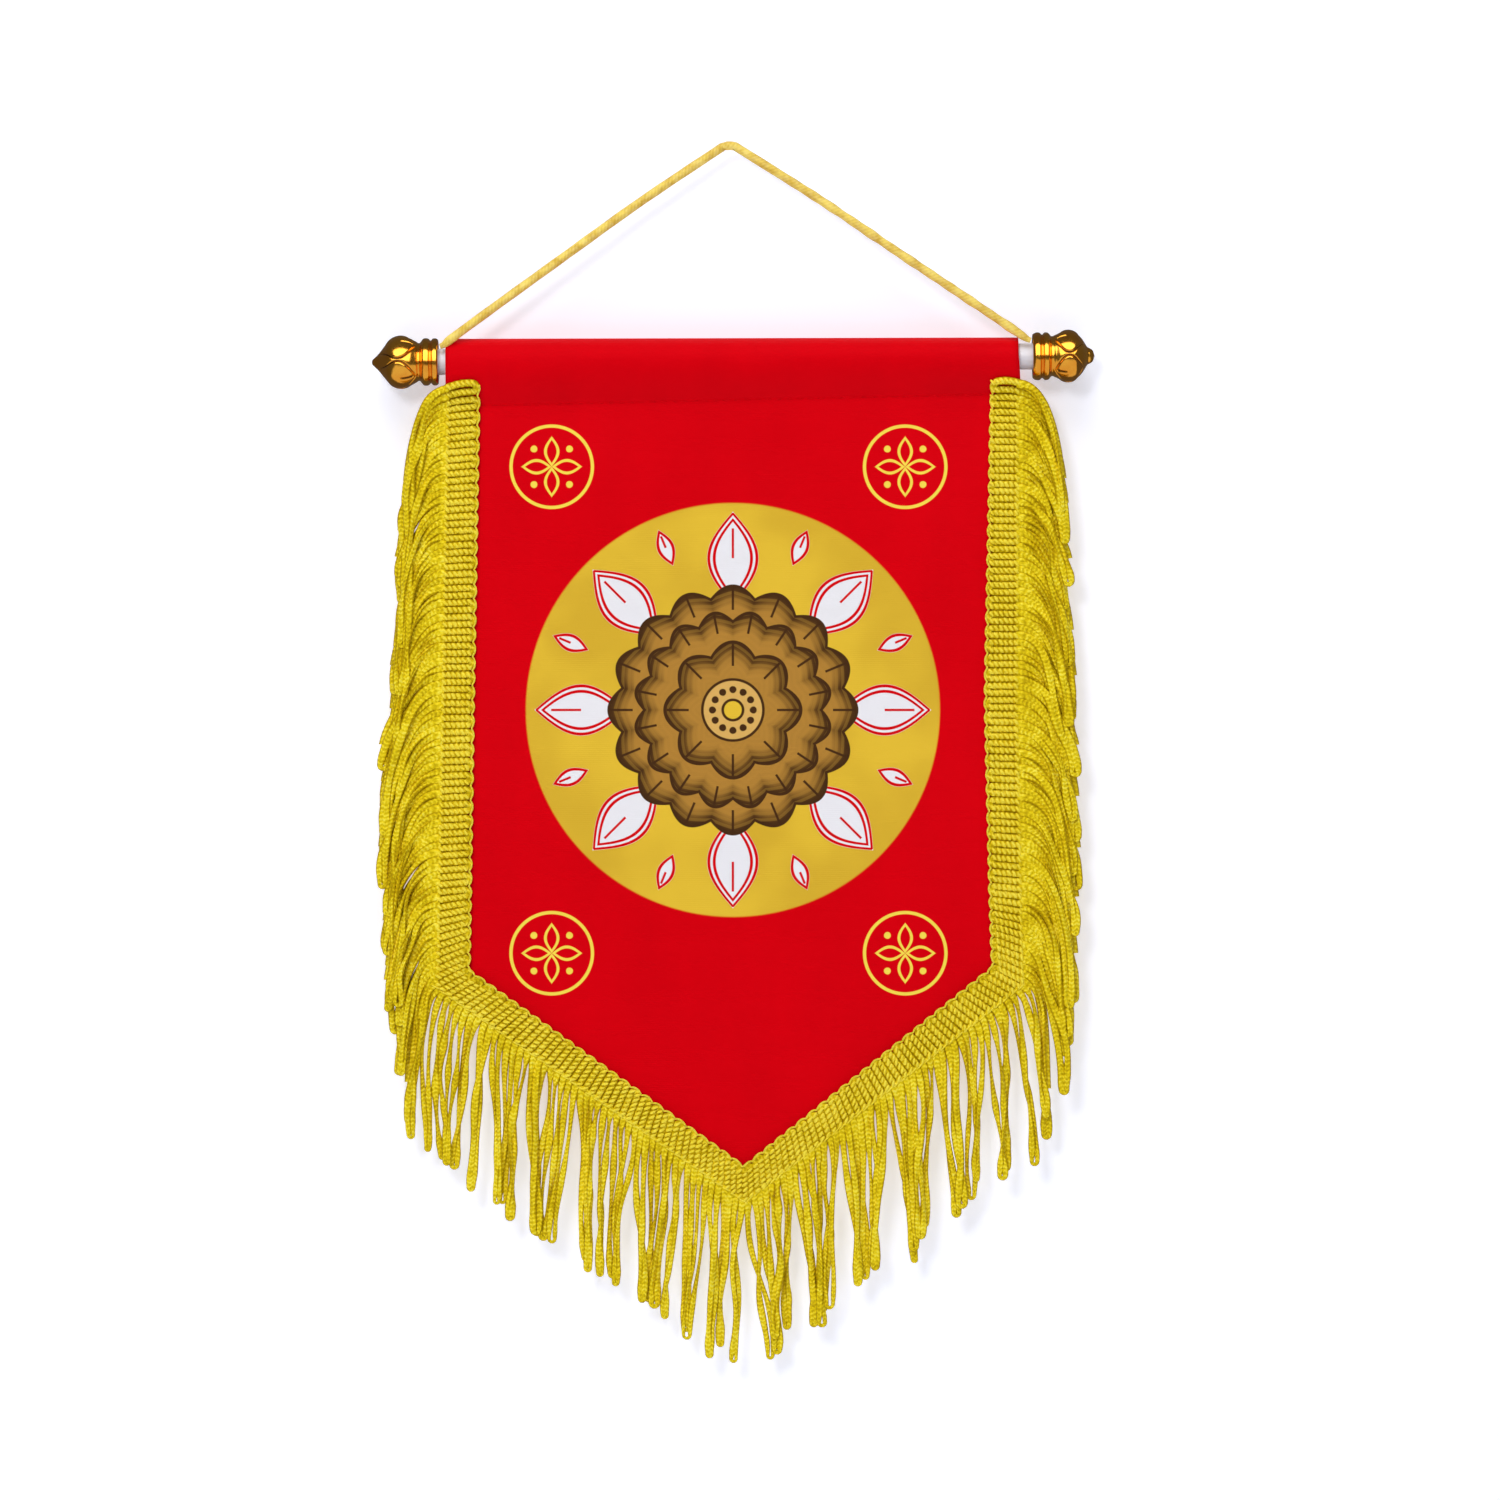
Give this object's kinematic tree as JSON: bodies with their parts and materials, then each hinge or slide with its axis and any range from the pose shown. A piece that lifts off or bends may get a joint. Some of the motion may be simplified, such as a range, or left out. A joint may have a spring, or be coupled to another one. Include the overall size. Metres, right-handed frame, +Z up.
{
  "type": "church banner with rod",
  "caption": "Small church pennant of red satin, pointed below, on a white rod with gilt bud finials, hung by a gold cord and edged with a knitted heading and yellow bullion fringe.",
  "frame": {"origin": "underside of the bend of the hanging cord, where a nail or hook holds the banner up", "axes": "+Z up, +X to the right as the banner is seen, and its front faces -Y"},
  "size_m": [0.2132, 0.0146, 0.3634],
  "materials": {
    "satin": "red polyester satin with a soft sheen, printed",
    "trim": "yellow twisted rayon yarn",
    "rod": "white plastic",
    "gilt": "bright gold metallised plastic",
    "cord": "smooth pale gold satin cord"
  },
  "bodies": {
    "root": {"cloth": "satin", "heading": "trim", "fringe": "trim", "rod": "rod", "finial_left": "gilt", "finial_right": "gilt", "hanging_cord": "cord"}
  },
  "joints": []
}
